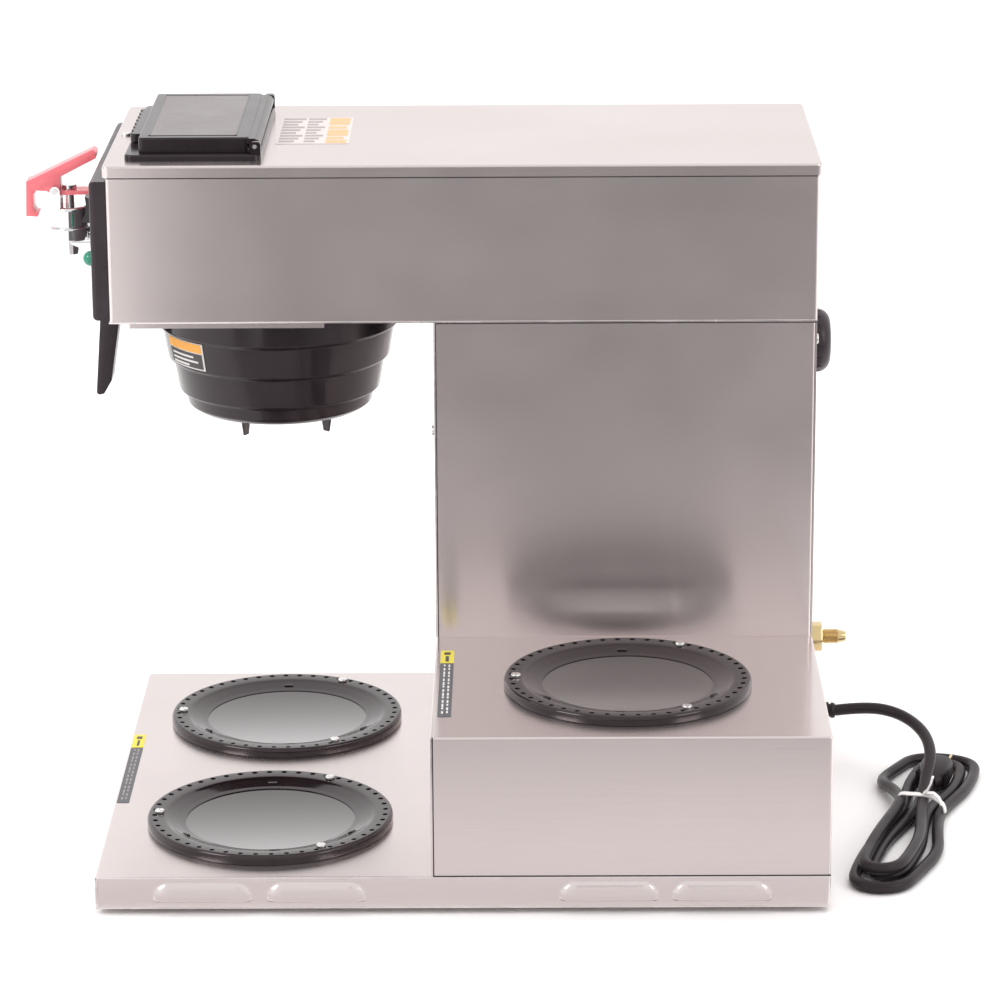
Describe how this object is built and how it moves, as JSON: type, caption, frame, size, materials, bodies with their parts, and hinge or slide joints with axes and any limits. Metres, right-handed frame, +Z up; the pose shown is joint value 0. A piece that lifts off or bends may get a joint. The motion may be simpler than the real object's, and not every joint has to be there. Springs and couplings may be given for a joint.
{
  "type": "commercial coffee brewer",
  "caption": "Commercial pour-over and plumbed coffee brewer with a pour-in lid, pull-out brew funnel, round warmers, raised rear warmer, hot-water faucet and mains lead.",
  "frame": {"origin": "on the counter, under the middle of the box that holds the brewer without its power cord", "axes": "+Z up, -Y towards the front, +X to the machine's right seen from the front"},
  "size_m": [0.4107, 0.6582, 0.4623],
  "materials": {
    "stainless": "brushed sheet, satin",
    "black_rubber": "moulded rubber",
    "bezel_plastic": "fine-grained moulded plastic",
    "black_gloss_plastic": "polished moulded plastic",
    "black_enamel": "fired gloss enamel on steel",
    "bright_steel": "bright plated steel",
    "chrome": "polished chrome plate",
    "brass": "machined brass",
    "copper_tube": "drawn copper",
    "element_metal": "heat-tinted steel sheath",
    "silicone": "translucent silicone",
    "control_plastic": "moulded plastic",
    "switch_plastic": "moulded plastic",
    "green_lens": "tinted moulded lens",
    "red_plastic": "moulded plastic",
    "cord_jacket": "extruded jacket",
    "tie_white": "coated twist tie"
  },
  "bodies": {
    "housing": {"base_housing": "stainless", "base_pan": "stainless", "brew_timer": "control_plastic", "cord_hank": "cord_jacket", "cord_tie": "tie_white", "faucet_body": "chrome", "faucet_bonnet": "chrome", "faucet_handle_pin": "bright_steel", "faucet_nut": "chrome", "faucet_spring": "bright_steel", "faucet_tube": "silicone", "feet": "black_rubber", "fill_tube": "silicone", "front_bezel": "bezel_plastic", "funnel_rails": "stainless", "head_shell": "stainless", "inlet_fitting": "brass", "inlet_nut": "brass", "inlet_valve": "control_plastic", "lid_hinge_pin": "bright_steel", "limit_thermostat": "control_plastic", "panel_screws": "bright_steel", "pour_in_basin": "black_gloss_plastic", "power_cord": "cord_jacket", "power_plug": "cord_jacket", "ready_lamp": "green_lens", "rear_panel": "stainless", "spray_tube": "stainless", "sprayhead": "stainless", "step_housing": "stainless", "strain_relief": "cord_jacket", "supply_tube": "copper_tube", "switch_frames": "switch_plastic", "tank": "stainless", "tank_gasket": "silicone", "tank_heater": "element_metal", "tank_lid": "stainless", "terminal_block": "control_plastic", "thermostat": "control_plastic", "top_cover": "stainless", "tower_shell": "stainless", "warmer_elements": "element_metal", "warmer_pan_left": "black_enamel", "warmer_pan_raised": "black_enamel", "warmer_pan_right": "black_enamel", "warmer_plate_left": "black_enamel", "warmer_plate_raised": "black_enamel", "warmer_plate_right": "black_enamel", "warmer_screws": "bright_steel"},
    "lid": {"pour_in_lid": "black_gloss_plastic"},
    "funnel": {"funnel": "black_gloss_plastic", "funnel_handle": "bezel_plastic"},
    "faucet_lever": {"faucet_handle": "red_plastic"},
    "faucet_valve": {"faucet_stem": "bright_steel"},
    "dial": {"rear_dial": "bezel_plastic"},
    "brew_switch_rocker": {"brew_switch": "switch_plastic"},
    "power_switch_rocker": {"power_switch": "switch_plastic"},
    "warmer_switch_left_rocker": {"warmer_switch_left": "switch_plastic"},
    "warmer_switch_right_rocker": {"warmer_switch_right": "switch_plastic"},
    "warmer_switch_raised_rocker": {"warmer_switch_raised": "switch_plastic"}
  },
  "joints": [
    {"name": "lid_hinge", "type": "hinge", "parent": "housing", "child": "lid", "pos_m": [-0.09885, -0.1196, 0.4572], "axis": [-1, 0, 0], "range_deg": [0, 100]},
    {"name": "funnel_slide", "type": "slide", "parent": "housing", "child": "funnel", "axis": [0, -1, 0], "range_m": [0, 0.2]},
    {"name": "faucet_lever_hinge", "type": "hinge", "parent": "housing", "child": "faucet_lever", "pos_m": [-0.1016, -0.262, 0.411], "axis": [1, 0, 0], "range_deg": [0, 20], "stiffness_Nm_per_rad": 0.6, "springref_deg": -20.05},
    {"name": "faucet_stem_lift", "type": "slide", "parent": "housing", "child": "faucet_valve", "axis": [0, 0, 1], "range_m": [0, 0.0059], "deforming": ["faucet_spring"]},
    {"name": "dial_turn", "type": "hinge", "parent": "housing", "child": "dial", "pos_m": [-0.1016, 0.26, 0.3017], "axis": [0, -1, 0], "range_deg": [0, 270]},
    {"name": "brew_switch_press", "type": "hinge", "parent": "housing", "child": "brew_switch_rocker", "pos_m": [-0.034, -0.2295, 0.411], "axis": [1, 0, 0], "range_deg": [0, 18], "stiffness_Nm_per_rad": 0.02, "springref_deg": -11.46},
    {"name": "power_switch_press", "type": "hinge", "parent": "housing", "child": "power_switch_rocker", "pos_m": [-0.062, -0.2295, 0.411], "axis": [1, 0, 0], "range_deg": [0, 18]},
    {"name": "warmer_switch_left_press", "type": "hinge", "parent": "housing", "child": "warmer_switch_left_rocker", "pos_m": [-0.176, -0.2295, 0.383], "axis": [1, 0, 0], "range_deg": [0, 18]},
    {"name": "warmer_switch_right_press", "type": "hinge", "parent": "housing", "child": "warmer_switch_right_rocker", "pos_m": [-0.148, -0.2295, 0.383], "axis": [1, 0, 0], "range_deg": [0, 18]},
    {"name": "warmer_switch_raised_press", "type": "hinge", "parent": "housing", "child": "warmer_switch_raised_rocker", "pos_m": [-0.148, -0.2295, 0.411], "axis": [1, 0, 0], "range_deg": [0, 18]}
  ],
  "couplings": [
    {"joint": "faucet_stem_lift", "follows": "faucet_lever_hinge", "m_per_rad": 0.0165}
  ]
}
